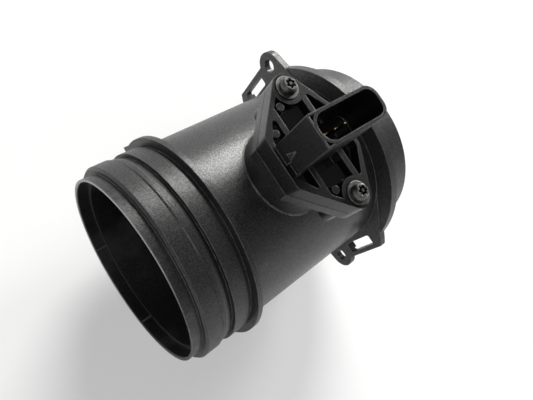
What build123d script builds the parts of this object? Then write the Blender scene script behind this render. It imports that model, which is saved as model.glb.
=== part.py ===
from build123d import *
import os

os.makedirs("parts", exist_ok=True)

# Mass airflow sensor. X runs along the measuring tube from the hose mouth to the
# flange, Z along the plug-in axis of the sensor, origin at the centre of the mouth.

# measuring tube
BORE_R = 41.0
MOUTH_R = 42.6           # counterbore at the hose mouth
MOUTH_DEPTH = 5.8
HOSE_R = 44.0            # thin lip of the hose mouth
GROOVE_R = 44.8          # root between the hose ribs
TUBE_R = 45.7
RIB_R = 46.9
RIB_1_X, RIB_2_X = (5.0, 12.5), (19.1, 26.4)
BARB_X0, BARB_R = 12.9, 46.2      # low barb between the two ribs
STOP_X0, STOP_X1, STOP_R = 28.6, 31.0, 50.1
TAB_T = 1.6

# airbox end
WING_X, WING_T = 112.0, 3.6
DISC_X0, DISC_X1, DISC_R = 112.5, 117.0, 54.4
COLLAR_X, COLLAR_R = 137.0, 47.3
SEAT_R, SEAT_X = 44.4, 119.0     # seat of grid and screen inside the collar
HOLE_Y, HOLE_Z, HOLE_R = 53.8, 20.0, 3.4
LOBE_R = 7.3
WING_Y = 57.3            # straight outer edge of a wing
SLOT = (49.2, 54.8, -10.0, 9.6)

# sensor seat
TURRET_X, TURRET_R = 67.7, 20.0
NECK_R, NECK_BORE_R = 15.8, 16.0
LEDGE_Z0, LEDGE_Z1 = 56.8, 62.0  # housing ledge under the sensor plate
LEDGE_TAPER, LEDGE_NOSE_R = 2.6, 0.7
BOSS_R, BOSS_Z = 3.9, 46.0    # screw boss that hangs under each ear
PLATE_Z = 69.0
EAR_X, EAR_Y, EAR_R = 70.2, 24.1, 6.2
PLATE_X0, PLATE_X1 = 47.2, 85.4
NOSE_R = 3.2                 # plate corners at the leaning end face
VERTEX_Y0, VERTEX_Y1 = 9.8, 8.6
POCKET_Z = 63.6

# connector
SHROUD_X0, SHROUD_X1, SHROUD_Y, SHROUD_Z = 49.9, 83.3, 6.55, 91.8
SHROUD_WALL = 1.25
SOCKET_Z = 72.5
BLADE_X = (57.9, 63.5, 69.1, 74.7)
BLADE_W, BLADE_T, BLADE_TIP_Z = 1.7, 0.6, 80.0

# measuring finger
FINGER_X0, FINGER_X1, FINGER_Y, FINGER_Z = 52.7, 82.7, 6.75, -9.0
NECK_Z = 40.5
LID_T = 1.5

# screws
HEAD_R, SHANK_R, SHANK_Z = 3.6, 2.0, 49.0
WASHER_R, WASHER_Z, WASHER_T = 4.9, 68.3, 1.0


def xcyl(r, x0, x1):
    # cylinder about the tube axis
    return Pos((x0 + x1) / 2, 0, 0) * Rot(0, 90, 0) * Cylinder(r, x1 - x0)


def zcyl(x, y, r, z0, z1):
    # cylinder along the plug-in axis
    return Pos(x, y, (z0 + z1) / 2) * Cylinder(r, z1 - z0)


def block(x0, x1, y0, y1, z0, z1):
    return Pos((x0 + x1) / 2, (y0 + y1) / 2, (z0 + z1) / 2) * Box(x1 - x0, y1 - y0, z1 - z0)


def turned(points):
    # solid of revolution about the tube axis from (x, r) pairs
    return revolve(Plane.XZ * make_face(Polyline(*points, close=True)), Axis.X, 360)


def tube_shell():
    # outside of the tube: lip, hose ribs with the barb between them, stop ring, plain tube
    (a0, a1), (b0, b1) = RIB_1_X, RIB_2_X
    lip = [(0, HOSE_R), (a0, HOSE_R)]
    rib_1 = [(a0, RIB_R - 0.8), (a0 + 0.9, RIB_R), (a1, RIB_R)]
    barb = [(BARB_X0, BARB_R - 0.3), (BARB_X0 + 0.8, BARB_R), (BARB_X0 + 2.3, BARB_R),
            (BARB_X0 + 4.1, BARB_R - 0.5), (b0, GROOVE_R)]
    rib_2 = [(b0, RIB_R), (b1, RIB_R), (b1, TUBE_R)]
    stop = [(STOP_X0, TUBE_R), (STOP_X0, STOP_R), (STOP_X1, STOP_R), (STOP_X1, TUBE_R)]
    return turned([(0, 40)] + lip + rib_1 + barb + rib_2 + stop + [(DISC_X1, TUBE_R), (DISC_X1, 40)])


def extruded(sketch, z0, z1):
    # plan sketch (X, Y) raised from z0 to z1
    return Pos(0, 0, z0) * extrude(sketch, z1 - z0)


def plan_polygon(*points):
    return make_face(Polyline(*points, close=True))


def rounded_rect(x0, x1, y0, y1, r_low, r_high):
    # rectangle in plan with its own corner radius at the low-X and the high-X end
    s = Pos((x0 + x1) / 2, (y0 + y1) / 2) * Rectangle(x1 - x0, y1 - y0)
    low = s.vertices().group_by(Axis.X)[0]
    if r_low:
        s = fillet(low, r_low)
    if r_high:
        s = fillet(s.vertices().group_by(Axis.X)[-1], r_high)
    return s


def hex_plan(x0, nose_r=None, ear_r=EAR_R):
    # elongated hexagon with a round ear at each screw, the taut outline round all corners
    def tangent_point(vx, vy, side):
        # where the line from a corner touches the ear circle
        dx, dy = EAR_X - vx, EAR_Y - vy
        d = (dx * dx + dy * dy) ** 0.5
        a = ear_r / d
        c = (1 - a * a) ** 0.5
        ux, uy = dx / d, dy / d
        nx, ny = (-uy, ux) if side > 0 else (uy, -ux)
        return (EAR_X - ear_r * (a * ux - c * nx), EAR_Y - ear_r * (a * uy - c * ny))
    left = tangent_point(x0, VERTEX_Y0, 1)
    right = tangent_point(PLATE_X1, VERTEX_Y1, -1)
    half = [(x0, VERTEX_Y0), left, right, (PLATE_X1, VERTEX_Y1)]
    body = plan_polygon(*half, *[(x, -y) for x, y in reversed(half)])
    if nose_r:
        body = fillet(body.vertices().sort_by(Axis.X)[:2], nose_r)
    body = fillet(body.vertices().sort_by(Axis.X)[-2:], 3.0)
    for s in (1, -1):
        body += Pos(EAR_X, s * EAR_Y) * Circle(ear_r)
    return body


def wing_plan():
    # one wing of the flange in the (Y, Z) plane: screw lobe, straight edge, cut corner
    rough = plan_polygon((30, 32.2), (HOLE_Y + 1.2, HOLE_Z + LOBE_R), (WING_Y, HOLE_Z),
                         (WING_Y, -14.0), (54.6, -16.3), (31.5, -33.2), (28, 0))
    return rough + Pos(HOLE_Y, HOLE_Z) * Circle(LOBE_R)


def mounting_flange():
    face = Plane(origin=(WING_X, 0, 0), x_dir=(0, 1, 0), z_dir=(1, 0, 0))
    wing = extrude(face * wing_plan(), WING_T)
    rings = turned([(DISC_X0, 40), (DISC_X0, DISC_R), (DISC_X1, DISC_R), (DISC_X1, COLLAR_R),
                    (COLLAR_X - 1.6, COLLAR_R), (COLLAR_X, COLLAR_R - 1.6), (COLLAR_X, 40)])
    # screw hole and long slot go through wing and disc
    y0, y1, z0, z1 = SLOT
    cut = Pos((y0 + y1) / 2, (z0 + z1) / 2) * RectangleRounded(y1 - y0, z1 - z0, 1.3)
    cut += Pos(HOLE_Y, HOLE_Z) * Circle(HOLE_R)
    cut = extrude(Plane(origin=(WING_X - 1, 0, 0), x_dir=(0, 1, 0), z_dir=(1, 0, 0)) * cut, 7)
    return wing + Rot(180, 0, 0) * wing + rings - cut - Rot(180, 0, 0) * cut


def tube_housing():
    tube = tube_shell()
    # hooked tab of the stop ring
    face = Plane(origin=(STOP_X0, 0, 0), x_dir=(0, 1, 0), z_dir=(1, 0, 0))
    tube += extrude(face * plan_polygon((49, -2.4), (52.2, -1.8), (50.0, 4.6), (49, 4.6)), TAB_T)
    tube += mounting_flange()
    tube += zcyl(TURRET_X, 0, TURRET_R, 30, LEDGE_Z1 - 2)
    tube += zcyl(TURRET_X, 0, TURRET_R + 0.4, 30, 60) & xcyl(TUBE_R + 0.45, 40, 95)
    # sensor seat: hexagonal ledge that draws in to the round turret, a boss under each ear
    ledge = hex_plan(PLATE_X0 - 0.2, LEDGE_NOSE_R)
    tube += extruded(ledge, LEDGE_Z0, LEDGE_Z1)
    tube += Pos(0, 0, LEDGE_Z0) * extrude(ledge, LEDGE_TAPER, dir=(0, 0, -1), taper=45)
    for s in (1, -1):
        tube += zcyl(EAR_X, s * EAR_Y, BOSS_R, BOSS_Z, LEDGE_Z0 + 1)
        tube += block(EAR_X - 1.5, EAR_X + 1.5, *sorted((s * 17, s * EAR_Y)), BOSS_Z, LEDGE_Z0 + 1)
    # bore, mouth and seats
    tube -= xcyl(BORE_R, -1, COLLAR_X + 1) + xcyl(MOUTH_R, -1, MOUTH_DEPTH)
    tube -= turned([(-0.1, 0), (-0.1, MOUTH_R + 0.5), (0.5, MOUTH_R), (0.5, 0)])
    tube -= xcyl(SEAT_R, SEAT_X, COLLAR_X + 1)
    tube -= zcyl(TURRET_X, 0, NECK_BORE_R, 20, LEDGE_Z1 + 1)
    for s in (1, -1):
        tube -= zcyl(EAR_X, s * EAR_Y, SHANK_R + 0.05, SHANK_Z - 2, LEDGE_Z1 + 1)
        # split-line nick in the mouth lip
        tube -= Pos(0.4, s * 43.6, 0) * Box(1.6, 1.4, 1.0)
    for a in (60, 120, -60, -120):
        # short rib inside the mouth
        tube += Rot(a, 0, 0) * block(0.9, MOUTH_DEPTH + 0.1, MOUTH_R - 0.7, MOUTH_R + 0.1, -0.5, 0.5)
    return tube


def shroud():
    # connector shell: square shoulders at the low-X end, round corners at the other
    outer = rounded_rect(SHROUD_X0, SHROUD_X1, -SHROUD_Y, SHROUD_Y, 0.5, 5.0)
    shell = extruded(outer, LEDGE_Z1 + 1, SHROUD_Z)
    w = SHROUD_WALL
    inner = rounded_rect(SHROUD_X0 + w, SHROUD_X1 - w, w - SHROUD_Y, SHROUD_Y - w,
                         SHROUD_Y - w - 0.1, 3.9)
    shell -= extruded(inner, SOCKET_Z, SHROUD_Z + 1)
    corner = Pos(SHROUD_X0 + 3.4, 0) * Rectangle(5.2, 2 * SHROUD_Y - 1.6)
    corner -= Pos(SHROUD_X0 + SHROUD_Y, 0) * Circle(SHROUD_Y - 0.05)
    corner &= Pos(SHROUD_X0 + 2.2, 0) * Rectangle(2.8, 40)
    shell -= extruded(corner, SHROUD_Z - 9, SHROUD_Z + 1)
    # coding ribs on the socket floor and walls
    y_in = SHROUD_Y - w + 0.1
    shell += block(64.4, 66.0, 3.9, y_in, SOCKET_Z - 1, BLADE_TIP_Z)
    shell += block(65.4, 66.4, -y_in, -2.8, SOCKET_Z - 1, BLADE_TIP_Z)
    shell += block(68.7, 71.9, -2.9, -1.4, SOCKET_Z - 1, BLADE_TIP_Z - 2)
    # arrow mark and foot step on the end face
    arrow = Plane(origin=(SHROUD_X0 + 0.1, 0, 0), x_dir=(0, -1, 0), z_dir=(-1, 0, 0))
    mark = plan_polygon((-1.4, 72.6), (1.4, 72.6), (0, 77.6))
    shell += extrude(arrow * mark, 0.6)
    shell -= block(SHROUD_X0 - 1, SHROUD_X0 + 1.3, -SHROUD_Y - 1, -1.5, 68.6, 72.4)
    return shell


def sensor_plate():
    # ribbed plate with pockets, pegs and sunk washer seats
    plate = extruded(hex_plan(PLATE_X0), LEDGE_Z1, PLATE_Z)
    # the end face leans inward towards the rim, between two rounded corners
    plate -= Pos(PLATE_X0, 0, LEDGE_Z1) * Rot(0, 9, 0) * Pos(-5, 0, 5) * Box(10, 40, 20)
    corners = [e for e in plate.edges() if e.bounding_box().size.Z > 5 and e.center().X < PLATE_X0 + 1]
    plate = fillet(corners, NOSE_R)
    keep = None
    for s in (1, -1):
        ring = Pos(EAR_X, s * EAR_Y) * Circle(EAR_R + 0.9)
        keep = ring if keep is None else keep + ring
    pockets = None
    for s in (1, -1):
        big = plan_polygon((59.3, s * 5.0), (59.3, s * 19.0), (64.8, s * 24.6), (73.3, s * 24.6),
                           (73.3, s * 5.0))
        right = plan_polygon((75.9, s * 5.0), (75.9, s * 18.6), (77.4, s * 18.4), (83.7, s * 8.4),
                             (83.7, s * 5.0))
        slot = (plan_polygon((50.6, 8.1), (55.2, 14.9), (56.9, 14.9), (56.9, 5.0), (50.6, 5.0)) if s > 0
                else plan_polygon((54.6, -5.0), (54.6, -13.4), (55.4, -14.4), (56.9, -14.4),
                                  (56.9, -5.0)))
        for face in (big, right, slot):
            pockets = face if pockets is None else pockets + face
    plate -= extruded(pockets - keep, POCKET_Z, PLATE_Z + 1)
    # shallow corner recess and the gap behind the rim
    plate -= extruded(plan_polygon((50.0, -6.9), (54.7, -6.9), (54.7, -13.2)), PLATE_Z - 1.6, PLATE_Z + 1)
    # raised segments beside the connector, parts of one disc
    segment = Pos(67.3, 0) * Circle(17.2) & Pos(61.0, 0) * Rectangle(21.8, 60)
    segment -= Pos(65.6, 0) * Rectangle(20, 19.6) + Pos(55.0, -12) * Rectangle(5, 24)
    plate += extruded(segment - keep, POCKET_Z - 0.1, PLATE_Z - 2.2)
    for x, y, r in ((62.3, 18.5, 1.75), (62.3, -18.4, 1.75), (53.8, 10.3, 1.6)):
        plate += zcyl(x, y, r, POCKET_Z - 0.1, PLATE_Z - 0.2)
    for s in (1, -1):
        plate -= zcyl(EAR_X, s * EAR_Y, WASHER_R + 0.35, WASHER_Z, PLATE_Z + 1)
        plate -= zcyl(EAR_X, s * EAR_Y, SHANK_R + 0.3, LEDGE_Z1 - 1, PLATE_Z + 1)
    return plate


def sensor_body():
    body = sensor_plate() + shroud()
    body += zcyl(TURRET_X, 0, NECK_R, NECK_Z, LEDGE_Z1 + 0.1)
    body -= (zcyl(TURRET_X, 0, NECK_R + 1, 50.9, 53.1) - zcyl(TURRET_X, 0, 14.0, 50, 54))
    finger = extruded(rounded_rect(FINGER_X0, FINGER_X1, -FINGER_Y, FINGER_Y, 3.2, 3.2), FINGER_Z, NECK_Z)
    # electronics chamber, lid rebate and bypass channel open to one side
    finger -= block(55.7, 75.5, 1.0, FINGER_Y + 1, 13.5, 37.5)
    finger -= block(54.5, 76.7, FINGER_Y - LID_T, FINGER_Y + 1, 12.3, 38.7)
    finger -= block(54.5, 80.9, FINGER_Y - LID_T, FINGER_Y + 1, -7.8, 11.3)
    finger -= block(60.0, FINGER_X1 + 1, -4.5, FINGER_Y - LID_T + 0.1, -0.5, 6.0)
    finger -= block(55.7, 61.0, -4.5, FINGER_Y - LID_T + 0.1, -6.6, 10.0)
    finger -= block(60.0, 79.7, -4.5, FINGER_Y - LID_T + 0.1, -6.6, -2.2)
    finger -= block(74.0, 79.7, -FINGER_Y - 1, 0, -6.6, -2.2)
    # tongue slit for the carrier plate between chamber and channel
    finger -= block(64.0, 72.0, 1.0, 2.2, 5.9, 13.6)
    # notch for the air temperature bead
    finger -= block(78.0, FINGER_X1 + 1, -FINGER_Y - 1, FINGER_Y + 1, 20.0, 32.0)
    for s in (1, -1):
        finger -= block(80.1, 80.7, s * 1.1 - 0.3, s * 1.1 + 0.3, 31.0, 34.4)
    body += finger
    for x in BLADE_X:
        body -= block(x - BLADE_W / 2, x + BLADE_W / 2, -BLADE_T / 2, BLADE_T / 2, 60.0, SOCKET_Z + 1)
    return body


def terminal(x):
    # blade contact with a chisel tip
    blade = block(x - BLADE_W / 2, x + BLADE_W / 2, -BLADE_T / 2, BLADE_T / 2, 60.0, BLADE_TIP_Z)
    edges = blade.faces().sort_by(Axis.Z)[-1].edges()
    return chamfer(edges, 0.2)


def lid(x0, x1, z0, z1):
    # flush lid on the side of the finger
    y1 = FINGER_Y
    plate = block(x0 + 0.1, x1 - 0.1, y1 - LID_T, y1, z0 + 0.1, z1 - 0.1)
    return fillet(plate.edges().filter_by(Axis.Y), 0.8)


def base_plate():
    # carrier plate with a tongue that reaches into the bypass channel
    plate = block(55.8, 75.4, 1.0, 2.2, 13.6, 37.4)
    return plate + block(64.2, 71.8, 1.0, 2.2, 0.6, 14)


def temperature_sensor():
    # bead on two leads
    bead = zcyl(80.4, 0, 1.6, 24.6, 27.6)
    bead = chamfer(bead.edges().filter_by(GeomType.CIRCLE), 0.6)
    for s in (1, -1):
        bead += block(80.1, 80.7, s * 1.1 - 0.3, s * 1.1 + 0.3, 27.0, 34.4)
    return bead


def neck_seal():
    # square sealing ring in the groove of the neck
    return zcyl(TURRET_X, 0, NECK_BORE_R - 0.03, 51.0, 53.0) - zcyl(TURRET_X, 0, 14.02, 50, 54)


def washer(s):
    ring = zcyl(EAR_X, s * EAR_Y, WASHER_R, WASHER_Z, WASHER_Z + WASHER_T)
    return ring - zcyl(EAR_X, s * EAR_Y, SHANK_R + 0.25, WASHER_Z - 1, WASHER_Z + 2)


def screw(s):
    # dome head with a six-lobe recess that has a centre pin
    z0 = WASHER_Z + WASHER_T
    outline = [(0, SHANK_Z), (SHANK_R, SHANK_Z), (SHANK_R, z0), (HEAD_R, z0), (HEAD_R, z0 + 1.0),
               (3.2, z0 + 2.0), (2.5, z0 + 2.8), (0, z0 + 2.8)]
    solid = revolve(Plane.XZ * make_face(Polyline(*outline, close=True)), Axis.Z, 360)
    star = RegularPolygon(1.6, 6)
    for lobe in PolarLocations(1.65, 6):
        star += lobe * RegularPolygon(0.6, 6)
    solid -= Pos(0, 0, z0 + 1.1) * extrude(star - RegularPolygon(0.95, 8), 3)
    return Pos(EAR_X, s * EAR_Y, 0) * Rot(0, 0, 11 * s) * solid


def flow_grid():
    # honeycomb straightener
    x0, x1 = SEAT_X, SEAT_X + 8.0
    face = Circle(SEAT_R - 0.05)
    cell, wall = 10.4, 1.0
    holes = [loc * RegularPolygon((cell - wall) / 2, 6, major_radius=False)
             for loc in HexLocations(cell / 2, 11, 11, major_radius=False)
             if (loc.position.X ** 2 + loc.position.Y ** 2) ** 0.5 < SEAT_R - 5.4]
    for h in holes:
        face -= h
    plane = Plane(origin=(x0, 0, 0), x_dir=(0, 1, 0), z_dir=(1, 0, 0))
    return extrude(plane * face, x1 - x0)


def inlet_screen():
    # square mesh held between straightener and ring
    x0 = SEAT_X + 8.0
    pitch, wire, n = 7.4, 0.8, 11
    face = Circle(SEAT_R - 0.05)
    holes = Sketch()
    for loc in GridLocations(pitch, pitch, n, n):
        if (loc.position.X ** 2 + loc.position.Y ** 2) ** 0.5 < SEAT_R - 5.4:
            holes += loc * Rectangle(pitch - wire, pitch - wire)
    face -= holes
    plane = Plane(origin=(x0, 0, 0), x_dir=(0, 1, 0), z_dir=(1, 0, 0))
    return extrude(plane * face, 0.6)


def screen_ring():
    # slit spring ring in front of the screen
    x0 = SEAT_X + 8.6
    ring = turned([(x0, 41.2), (x0, SEAT_R - 0.05), (x0 + 2.4, SEAT_R - 0.05), (x0 + 2.4, 41.2)])
    return ring - block(x0 - 1, x0 + 4, -2.0, 2.0, -60, -30)


def main():
    nodes = {
        "tube_housing": tube_housing(),
        "sensor_body": sensor_body(),
        "electronics_cover": lid(54.5, 76.7, 12.3, 38.7),
        "bypass_cover": lid(54.5, 80.9, -7.8, 11.3),
        "base_plate": base_plate(),
        "circuit_board": block(56.8, 74.4, 2.2, 3.0, 15.0, 36.4),
        "sensor_chip": block(65.5, 70.5, 2.2, 2.7, 1.0, 5.4),
        "temperature_sensor": temperature_sensor(),
        "neck_seal": neck_seal(),
        "washer_1": washer(1),
        "washer_2": washer(-1),
        "mounting_screw_1": screw(1),
        "mounting_screw_2": screw(-1),
        "flow_grid": flow_grid(),
        "inlet_screen": inlet_screen(),
        "screen_ring": screen_ring(),
    }
    for i, x in enumerate(BLADE_X, 1):
        nodes[f"terminal_{i}"] = terminal(x)
    for name, solid in nodes.items():
        export_step(solid, f"parts/{name}.step")


main()
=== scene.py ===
import bpy
from mathutils import Matrix, Vector

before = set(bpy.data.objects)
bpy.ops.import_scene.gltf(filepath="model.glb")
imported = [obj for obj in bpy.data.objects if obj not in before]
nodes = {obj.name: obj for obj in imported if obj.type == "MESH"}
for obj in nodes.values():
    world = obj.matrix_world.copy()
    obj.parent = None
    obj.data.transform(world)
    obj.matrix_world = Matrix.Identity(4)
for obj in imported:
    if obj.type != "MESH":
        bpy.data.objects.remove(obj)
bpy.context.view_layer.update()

scene = bpy.context.scene
scene.view_settings.view_transform = "Standard"

# places in the shared frame, in metres
SCREW_X, SCREW_Y = 0.0702, 0.0241
SCREW_TOP_Z = 0.0718       # just under the top face of the screw heads
CONTACT_TIP_Z = 0.0788     # the contacts get painted shade below this height
FLOOR_Z = -0.0546
FLOOR_REACH = 4.0
LAMP_AIM = (0.07, 0, 0.02)

MOULDED_EDGE = 0.0004      # radii of rounded edges, in metres
METAL_EDGE = 0.0002
SCREW_EDGE = 0.0003
GRAIN_DEPTH = 0.0004       # bump distances, in metres
FINE_DEPTH = 0.00005

POLISHED = (0.001, 0.001, 0.001)
# painted shade: darker colour of the bore inside the tube
BORE_SHADE = (0.001, 0.0013, 0.001)
ARROW = (0.022, 0.022, 0.023)
# pale edge colour: partly wear, partly painted edge highlight
EDGE_WEAR_AND_HIGHLIGHT = (0.26, 0.26, 0.26)
# pale steel edge colour: partly wear, partly painted edge highlight
STEEL_EDGE_WEAR_AND_HIGHLIGHT = (0.50, 0.50, 0.48)
DUST = (0.32, 0.31, 0.30)
# painted shade: darker colour in the screw recesses and on the contacts below their tips
PAINTED_SHADE = (0.006, 0.005, 0.004)

PAPER = (0.90, 0.90, 0.90, 1)
PAPER_GLOW = 0.24          # share of plain white that camera and reflections see in the paper


# ---------------------------------------------------------------- node trees
class Tree:
    """The node tree of a material or a world, with short calls for the nodes used here."""

    def __init__(self, owner):
        owner.use_nodes = True
        self.nodes = owner.node_tree.nodes
        self.links = owner.node_tree.links

    def node(self, kind, inputs=None, **settings):
        """New node, its settings first, then each input linked or given a plain value."""
        node = self.nodes.new("ShaderNode" + kind)
        for key, value in settings.items():
            setattr(node, key, value)
        for key, value in (inputs or {}).items():
            if isinstance(value, bpy.types.NodeSocket):
                self.links.new(value, node.inputs[key])
            else:
                node.inputs[key].default_value = value
        return node

    def ramp(self, value, *stops):
        """Colour ramp through stops of position and colour."""
        node = self.node("ValToRGB", {0: value})
        elements = node.color_ramp.elements
        while len(elements) < len(stops):
            elements.new(0.5)
        for element, (position, colour) in zip(elements, stops):
            element.position = position
            element.color = (*colour, 1)
        return node.outputs[0]

    def grey(self, value, *stops):
        return self.ramp(value, *[(position, (v, v, v)) for position, v in stops])

    def rise(self, value, start, end, top=1.0):
        """0 up to the start, the top value from the end on."""
        return self.grey(value, (start, 0.0), (end, top))

    def fall(self, value, start, end, top=1.0):
        """The top value up to the start, 0 from the end on."""
        return self.grey(value, (start, top), (end, 0.0))

    def math(self, kind, *values):
        return self.node("Math", dict(enumerate(values)), operation=kind).outputs[0]

    def times(self, a, b):
        return self.math("MULTIPLY", a, b)

    def plus(self, a, b):
        return self.math("ADD", a, b)

    def minus(self, a, b):
        return self.math("SUBTRACT", a, b)

    def most(self, a, b):
        return self.math("MAXIMUM", a, b)

    def component(self, vector, letter):
        return self.node("SeparateXYZ", {0: vector}).outputs[letter]


class Shader(Tree):
    """A Principled material, textured by the part's own coordinates."""

    def __init__(self, name, **sockets):
        self.mat = bpy.data.materials.new(name)
        super().__init__(self.mat)
        self.bsdf = self.nodes["Principled BSDF"]
        for key, value in sockets.items():
            self.bsdf.inputs[key].default_value = value
        self.coord = self.node("TexCoord").outputs["Object"]

    def mapped(self, scale):
        return self.node("Mapping", {"Vector": self.coord, "Scale": scale}).outputs["Vector"]

    def noise(self, scale, detail, rough=0.5, vector=None):
        inputs = {"Scale": scale, "Detail": detail, "Roughness": rough, "Vector": vector or self.coord}
        return self.node("TexNoise", inputs).outputs[0]

    def cells(self, scale):
        return self.node("TexVoronoi", {"Scale": scale, "Vector": self.coord}).outputs["Distance"]

    def place(self, letter):
        """Position along an axis in decimetres, which fits the 0 to 1 of a ramp."""
        return self.times(self.component(self.coord, letter), 10.0)

    def length(self, vector):
        return self.node("VectorMath", {0: vector}, operation="LENGTH").outputs["Value"]

    def dot(self, a, b):
        return self.node("VectorMath", {0: a, 1: b}, operation="DOT_PRODUCT").outputs["Value"]

    def face_normal(self):
        return self.node("NewGeometry").outputs["Normal"]

    def rounded_normal(self, radius):
        return self.node("Bevel", {"Radius": radius}, samples=4).outputs[0]

    def blend(self, factor, a, b):
        """Colour a towards the plain colour b."""
        inputs = {"Factor": factor, "A": a, "B": (*b, 1)}
        return self.node("Mix", inputs, data_type="RGBA").outputs["Result"]

    def bump(self, height, strength, distance, normal=None):
        inputs = {"Strength": strength, "Distance": distance, "Height": height}
        if normal is not None:
            inputs["Normal"] = normal
        return self.node("Bump", inputs).outputs[0]

    def feed(self, **sockets):
        for key, value in sockets.items():
            self.links.new(value, self.bsdf.inputs[key.replace("_", " ")])
        return self.mat


# ---------------------------------------------------------------- materials
class Moulding(Shader):
    """Spark-grained black plastic: fine pits, faint flow mottling, pale edges that are partly wear and
    partly painted edge highlight, sparse dust.
    """

    def __init__(self, name, dark, light, rough, gloss, sparkle):
        super().__init__(name, IOR=1.5)
        pits = self.noise(2000, 1.0, 0.6)
        mottle = self.noise(90, 3.0, 0.6)
        surface = self.plus(self.times(pits, 0.8), self.times(mottle, 0.2))
        self.base = self.ramp(surface, (0.38, dark), (0.62, light))
        # finer than a picture shows: smooth and rough facets side by side give the sheen a long tail
        facets = self.times(self.minus(self.noise(8000, 1.0), 0.5), 1.85)
        self.roughness = self.plus(self.grey(surface, (0.36, rough - 0.06), (0.64, rough + 0.06)), facets)
        low, high = gloss * (1 - sparkle), gloss * (1 + sparkle)
        self.shine = self.grey(self.noise(1800, 0.0), (0.35, low), (0.65, high))
        self.height = pits
        # edges are painted pale in patches where the rounded normal leaves the face normal,
        # only on those that face -X: partly wear, partly painted edge highlight
        self.facing = self.face_normal()
        self.rounded = self.rounded_normal(MOULDED_EDGE)
        bent = self.fall(self.dot(self.rounded, self.facing), 0.80, 0.965)
        self.edges = self.times(bent, self.grey(self.noise(260, 3.0, 0.6), (0.36, 0.25), (0.58, 1.0)))
        facing_minus_x = self.fall(self.plus(self.component(self.rounded, "X"), 0.5), 0.32, 0.46)
        self.wear_and_highlight = self.times(self.edges, facing_minus_x)

    def add_wear_and_highlight(self, amount):
        self.wear_and_highlight = self.most(self.wear_and_highlight, amount)

    def sensor_plate(self):
        """Zones of the plug-in sensor: sunk faces, flow arrow, connector rim."""
        z = self.place("Z")
        # the sunk faces of the plate are polished, its rim and webs keep their grain
        sunk = self.times(self.rise(z, 0.630, 0.632), self.fall(z, 0.6845, 0.6865))
        sunk = self.times(sunk, self.rise(self.component(self.facing, "Z"), 0.90, 0.97))
        polish = self.times(sunk, self.minus(self.roughness, 0.14))
        self.roughness = self.minus(self.roughness, polish)
        self.height = self.times(self.height, self.minus(1.0, self.times(sunk, 0.9)))
        self.base = self.blend(self.times(sunk, 0.7), self.base, POLISHED)
        # the flow arrow stands proud on the connector front and is paler
        arrow = self.times(self.fall(self.place("X"), 0.4970, 0.4980), self.rise(z, 0.716, 0.718))
        self.base = self.blend(arrow, self.base, ARROW)
        # the whole rim of the connector gets pale edges: partly wear from the plug, partly painted edge
        # highlight
        self.add_wear_and_highlight(self.times(self.edges, self.rise(z, 0.905, 0.910, 0.7)))

    def hose_end(self):
        """Zones of the tube: scuffed lip with a painted highlight line, mouth ribs, hose seat, bore with
        painted shade.
        """
        x = self.place("X")
        radius = self.length(self.mapped((0.0, 10.0, 10.0)))
        outside = self.rise(radius, 0.4265, 0.428)
        # faint scuffs round the hose lip, a painted highlight line on its upper edge where the window lamp
        # lights it, none inside
        scuff = self.rise(self.noise(300, 4.0, 0.7, self.mapped((0.25, 1.0, 1.0))), 0.50, 0.70, 0.15)
        self.add_wear_and_highlight(self.times(self.fall(x, 0.012, 0.050), scuff))
        self.wear_and_highlight = self.times(self.wear_and_highlight, outside)
        window_lit_side = self.rise(self.plus(self.place("Y"), 0.5), 0.25, 0.42, 0.9)
        self.add_wear_and_highlight(self.times(window_lit_side, self.fall(x, 0.002, 0.003)))
        # the small ribs in the mouth are made paler, and the bore has patches of haze
        self.add_wear_and_highlight(self.times(self.fall(radius, 0.4245, 0.4255), self.fall(x, 0.056, 0.057, 0.22)))
        haze = self.rise(self.noise(32, 3.0, 0.6), 0.50, 0.68, 0.07)
        self.add_wear_and_highlight(self.times(haze, self.fall(outside, 0.0, 1.0)))
        # the hose has rubbed its seat dull, and the bore gets painted shade, a darker colour, and is less
        # glossy than the outside
        dull = self.grey(x, (0.268, 0.12), (0.310, 0.03), (0.60, 0.0))
        self.roughness = self.plus(self.roughness, self.times(outside, dull))
        self.shine = self.times(self.shine, self.grey(outside, (0.0, 0.55), (1.0, 1.0)))
        self.base = self.blend(self.fall(outside, 0.0, 1.0, 0.6), self.base, BORE_SHADE)

    def finished(self, grain):
        """Seam and dust, then everything fed to the surface."""
        # dark seam between sensor plate and ledge, on upright faces
        z = self.place("Z")
        upright = self.fall(self.component(self.facing, "Z"), 0.3, 0.4)
        seam = self.times(self.rise(z, 0.6175, 0.6185), self.times(self.fall(z, 0.6215, 0.6225), upright))
        clear = self.minus(1.0, seam)
        wear_and_highlight = self.times(self.wear_and_highlight, clear)
        # small specks of dust in a few patches
        specks = self.grey(self.cells(170), (0.0, 1.0), (0.022, 1.0), (0.042, 0.0))
        specks = self.times(specks, self.rise(self.noise(45, 1.0), 0.57, 0.66, 0.9))
        # pale edges mixed into the colour: partly wear, partly painted edge highlight
        return self.feed(
            Base_Color=self.blend(specks, self.blend(wear_and_highlight, self.base, EDGE_WEAR_AND_HIGHLIGHT), DUST),
            Roughness=self.minus(self.roughness, self.times(wear_and_highlight, 0.10)),
            Specular_IOR_Level=self.times(self.shine, clear),
            Normal=self.bump(self.height, grain, GRAIN_DEPTH, self.rounded))


def housing_plastic():
    s = Moulding("housing_plastic", (0.0022, 0.0022, 0.0023), (0.0052, 0.0052, 0.0055), 0.42, 0.78, 0.26)
    s.hose_end()
    return s.finished(0.17)


def sensor_plastic():
    s = Moulding("sensor_plastic", (0.0020, 0.0020, 0.0021), (0.0040, 0.0040, 0.0042), 0.32, 0.42, 0.12)
    s.sensor_plate()
    return s.finished(0.08)


def grid_plastic():
    s = Moulding("grid_plastic", (0.012, 0.012, 0.013), (0.020, 0.020, 0.021), 0.46, 0.5, 0.26)
    return s.finished(0.25)


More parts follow.
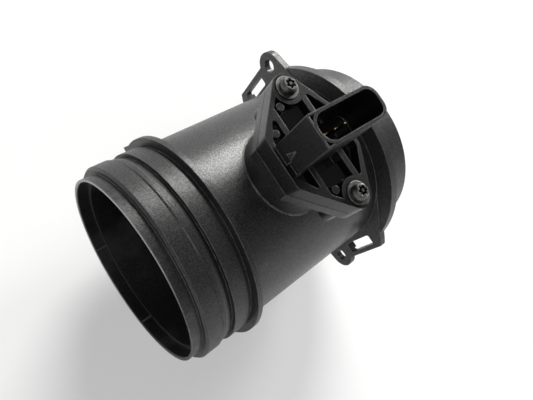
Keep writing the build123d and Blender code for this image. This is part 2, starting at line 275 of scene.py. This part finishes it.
def metal(name, dark, light, rough, scale, edge=METAL_EDGE, stretch=(1, 1, 1), pale_edges=None, shade_below_z=None,
          screws=False):
    """Stained metal with fine lines. It can have pale edges, partly wear and partly painted edge highlight,
    and painted shade below a height.
    """
    s = Shader(name, Metallic=1.0)
    stain = s.noise(scale, 4.0, 0.6)
    lines = s.noise(scale * 6, 2.0, 0.5, s.mapped(stretch))
    mixed = s.plus(s.times(stain, 0.5), s.times(lines, 0.5))
    rounded = s.rounded_normal(edge)
    base = s.ramp(stain, (0.35, dark), (0.65, light))
    if pale_edges:
        bent = s.fall(s.dot(rounded, s.face_normal()), 0.84, 0.97)
        patches = s.grey(s.noise(700, 2.0, 0.6), (0.38, 0.1), (0.58, 1.0))
        base = s.blend(s.times(bent, patches), base, pale_edges)
    # painted shade: darker colour below a height
    if shade_below_z:
        shade = s.fall(s.place("Z"), shade_below_z * 10, shade_below_z * 10 + 0.002)
        if screws:
            # painted shade only within the screw head, and up to its top in the star recess round the pin
            x = s.minus(s.component(s.coord, "X"), SCREW_X)
            y = s.minus(s.math("ABSOLUTE", s.component(s.coord, "Y")), SCREW_Y)
            radius_cm = s.times(s.math("SQRT", s.plus(s.times(x, x), s.times(y, y))), 100.0)
            shade = s.times(shade, s.fall(radius_cm, 0.235, 0.245))
            star = s.times(s.rise(radius_cm, 0.055, 0.065), s.fall(radius_cm, 0.160, 0.172))
            shade = s.most(shade, star)
        base = s.blend(shade, base, PAINTED_SHADE)
    return s.feed(Base_Color=base,
                  Roughness=s.grey(mixed, (0.35, rough - 0.06), (0.65, rough + 0.10)),
                  Normal=s.bump(lines, 0.15, FINE_DEPTH, rounded))


def board_laminate():
    s = Shader("board_laminate", Roughness=0.3)
    weave = s.noise(900, 3.0, 0.6)
    return s.feed(Base_Color=s.ramp(weave, (0.4, (0.02, 0.11, 0.05)), (0.6, (0.04, 0.19, 0.09))),
                  Normal=s.bump(weave, 0.2, FINE_DEPTH))


def plain(name, dark, light, rough, scale, bump=0.2):
    s = Shader(name)
    mottle = s.noise(scale, 3.0, 0.6)
    return s.feed(Base_Color=s.ramp(mottle, (0.4, dark), (0.6, light)),
                  Roughness=s.grey(mottle, (0.35, rough - 0.05), (0.65, rough + 0.05)),
                  Normal=s.bump(mottle, bump, FINE_DEPTH))


housing = housing_plastic()
sensor = sensor_plastic()
steel = metal("screw_steel", (0.09, 0.09, 0.085), (0.145, 0.145, 0.138), 0.40, 900, SCREW_EDGE,
              pale_edges=STEEL_EDGE_WEAR_AND_HIGHLIGHT, shade_below_z=SCREW_TOP_Z, screws=True)
wire = metal("screen_wire", (0.36, 0.36, 0.35), (0.50, 0.50, 0.49), 0.30, 700)
# the contacts get painted shade below their bright tips
gold = metal("terminal_gold", (0.78, 0.55, 0.22), (0.90, 0.68, 0.33), 0.22, 1200, shade_below_z=CONTACT_TIP_Z)
aluminium = metal("carrier_aluminium", (0.68, 0.68, 0.69), (0.78, 0.78, 0.79), 0.30, 500,
                  stretch=(1, 1, 12))

finish = {
    "tube_housing": housing, "sensor_body": sensor, "electronics_cover": sensor, "bypass_cover": sensor,
    "flow_grid": grid_plastic(), "inlet_screen": wire, "screen_ring": wire, "base_plate": aluminium,
    "circuit_board": board_laminate(),
    "sensor_chip": plain("chip_silicon", (0.05, 0.05, 0.07), (0.09, 0.09, 0.12), 0.2, 2500),
    "temperature_sensor": plain("bead_resin", (0.05, 0.03, 0.02), (0.08, 0.05, 0.03), 0.3, 1500),
    "neck_seal": plain("seal_rubber", (0.012, 0.012, 0.012), (0.02, 0.02, 0.02), 0.6, 1800, 0.4),
    "washer_1": steel, "washer_2": steel, "mounting_screw_1": steel, "mounting_screw_2": steel,
    "terminal_1": gold, "terminal_2": gold, "terminal_3": gold, "terminal_4": gold,
}
for name, obj in nodes.items():
    obj.data.materials.clear()
    obj.data.materials.append(finish[name])


# ---------------------------------------------------------------- floor and light
def paper_floor():
    """White paper under the part."""
    mesh = bpy.data.meshes.new("floor")
    r, z = FLOOR_REACH, FLOOR_Z
    mesh.from_pydata([(-r, -r, z), (r, -r, z), (r, r, z), (-r, r, z)], [], [(0, 1, 2, 3)])
    obj = bpy.data.objects.new("floor", mesh)
    scene.collection.objects.link(obj)
    mat = bpy.data.materials.new("floor_paper")
    tree = Tree(mat)
    tree.nodes.clear()
    paper = tree.node("BsdfDiffuse", {"Color": PAPER})
    glow = tree.node("Emission")
    path = tree.node("LightPath")
    seen = tree.most(path.outputs["Is Camera Ray"], path.outputs["Is Glossy Ray"])
    mix = tree.node("MixShader", {0: tree.times(seen, PAPER_GLOW), 1: paper.outputs[0], 2: glow.outputs[0]})
    tree.node("OutputMaterial", {"Surface": mix.outputs[0]})
    mesh.materials.append(mat)


def lamp(data, direction, distance=0.0):
    """Lamp in a direction from the part, turned to face it."""
    obj = bpy.data.objects.new(data.name, data)
    away = Vector(direction).normalized()
    obj.location = Vector(LAMP_AIM) + away * distance
    obj.rotation_euler = away.to_track_quat("Z", "Y").to_euler()
    scene.collection.objects.link(obj)


def softbox(name, direction, distance, size, watts):
    data = bpy.data.lights.new(name, "AREA")
    data.size = size
    data.energy = watts
    lamp(data, direction, distance)


def window():
    """A large lamp far away, so the paper is lit the same all round."""
    data = bpy.data.lights.new("window", "SUN")
    data.energy = 3.1
    data.angle = 0.47
    data.color = (1.0, 1.0, 0.97)
    lamp(data, (0.52, 0.66, 0.52))


def sky():
    """Studio surround: white at the horizon, grey overhead, brighter on the -Y side."""
    world = bpy.data.worlds.new("studio")
    scene.world = world
    tree = Tree(world)
    background = tree.nodes["Background"]
    toward = tree.node("TexCoord").outputs["Generated"]
    stops = [(height, (0.99 * v, 0.98 * v, 1.02 * v))
             for height, v in ((0.0, 0.95), (0.12, 0.68), (0.45, 0.18), (1.0, 0.09))]
    colour = tree.ramp(tree.component(toward, "Z"), *stops)
    strength = tree.math("MULTIPLY_ADD", tree.component(toward, "Y"), -0.3, 1.15)
    tree.links.new(colour, background.inputs["Color"])
    tree.links.new(strength, background.inputs["Strength"])


paper_floor()
window()
softbox("end", (0.93, 0.22, 0.33), 1.4, 0.4, 13.0)
softbox("front", (-0.50, -0.10, 0.85), 1.2, 0.6, 3.8)
sky()


# ---------------------------------------------------------------- camera
def camera():
    data = bpy.data.cameras.new("camera")
    data.sensor_fit = "HORIZONTAL"
    data.sensor_width = 36.0
    data.lens = 30.215
    data.clip_start = 0.01
    obj = bpy.data.objects.new("camera", data)
    right, up, back = (0.7236, -0.5510, 0.4157), (0.4477, 0.8330, 0.3250), (-0.5254, -0.0490, 0.8495)
    turn = Matrix((right, up, back)).transposed()
    obj.matrix_world = Matrix.Translation((-0.04410, -0.01556, 0.19648)) @ turn.to_4x4()
    scene.collection.objects.link(obj)
    scene.camera = obj


camera()
